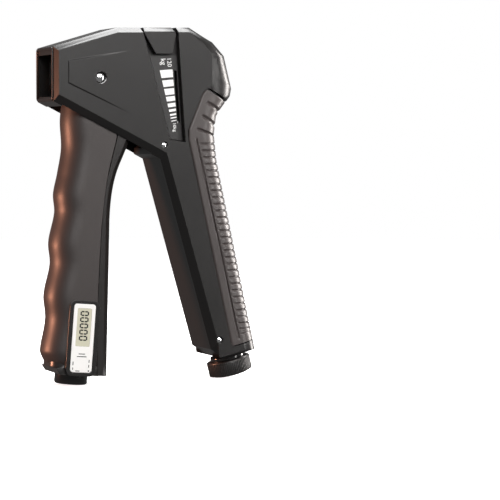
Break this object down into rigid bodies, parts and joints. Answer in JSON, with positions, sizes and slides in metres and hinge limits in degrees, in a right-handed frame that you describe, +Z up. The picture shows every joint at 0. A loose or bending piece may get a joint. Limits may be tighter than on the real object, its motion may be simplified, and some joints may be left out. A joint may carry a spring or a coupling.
{
  "type": "adjustable hand gripper",
  "caption": "Hand grip strengthener: two pivoting handles, spring in a wedge head, force scale set by a knurled knob, repetition counter and reset button.",
  "frame": {"origin": "centre of the base of the whole gripper's box; the reset button and the knob's rim stand on Z = 0", "axes": "+Z up, from the handles' ends to the head; +X from the front handle to the rear handle; -Y is the side with the display"},
  "size_m": [0.1038, 0.03, 0.1642],
  "materials": {
    "housing_plastic": "satin moulded black plastic",
    "handle_plastic": "satin moulded black plastic",
    "rear_rubber": "satin ribbed rubber, warm grey",
    "front_rubber": "soft-touch rubber",
    "black_rubber": "plain",
    "scale_plate": "printed plate with white blocks",
    "pin_chrome": "polished",
    "steel": "machined",
    "spring_steel": "drawn wire, oiled",
    "brass": "turned",
    "inner_plastic": "natural acetal",
    "knob_plastic": "knurled, satin",
    "pointer_white": "light moulded strip",
    "panel_white": "printed label plate",
    "lcd": "khaki display with dark digits",
    "circuit_board": "green solder mask",
    "glass": "thin tube",
    "button_gloss": "gloss black"
  },
  "bodies": {
    "root": {"housing_left": "housing_plastic", "housing_right": "housing_plastic", "nose_frame": "housing_plastic", "top_clip": "housing_plastic", "rear_grip": "rear_rubber", "scale_plate_left": "scale_plate", "scale_plate_right": "scale_plate", "main_pin": "pin_chrome", "pivot_screw": "pin_chrome", "housing_pins": "pin_chrome", "case_screws": "steel", "counter_magnet": "steel", "open_stop": "black_rubber", "spring_spool": "inner_plastic", "torsion_spring": "spring_steel", "screw_bearing_top": "inner_plastic", "screw_bearing_bottom": "inner_plastic"},
    "knob": {"adjuster_knob": "knob_plastic", "lead_screw": "steel", "knob_collar": "pin_chrome", "knob_screw": "steel", "screw_ring": "spring_steel"},
    "slider": {"slider_block": "inner_plastic", "slider_nut": "brass", "scale_pointer": "pointer_white"},
    "front_handle": {"handle_shell_left": "handle_plastic", "handle_shell_right": "handle_plastic", "front_grip": "front_rubber", "lever_channel": "steel", "pivot_bush_left": "brass", "pivot_bush_right": "brass", "display_bezel": "housing_plastic", "display_panel": "panel_white", "lcd_glass": "lcd", "counter_board": "circuit_board", "coin_cell": "steel", "reed_switch": "glass", "tact_switch": "inner_plastic", "switch_board": "circuit_board", "button_spring": "spring_steel"},
    "button": {"reset_button": "button_gloss"}
  },
  "joints": [
    {"name": "squeeze", "type": "hinge", "parent": "root", "child": "front_handle", "pos_m": [-0.02784, 0, 0.1408], "axis": [0, -1, 0], "range_deg": [0, 19], "stiffness_Nm_per_rad": 20, "springref_deg": -5.73, "deforming": ["torsion_spring"]},
    {"name": "knob_turn", "type": "hinge", "parent": "root", "child": "knob", "pos_m": [0.00716, 0, 0.1408], "axis": [-0.2419, 0, 0.9703], "range_deg": [0, 1981]},
    {"name": "block_slide", "type": "slide", "parent": "root", "child": "slider", "axis": [-0.2419, 0, 0.9703], "range_m": [0, 0.022]},
    {"name": "reset_press", "type": "slide", "parent": "front_handle", "child": "button", "axis": [0.0785, 0, 0.9969], "range_m": [0, 0.0013], "stiffness_N_per_m": 2500, "springref_m": -0.002, "deforming": ["button_spring"]}
  ],
  "couplings": [
    {"joint": "knob_turn", "follows": "block_slide", "rad_per_m": 1570.8}
  ]
}
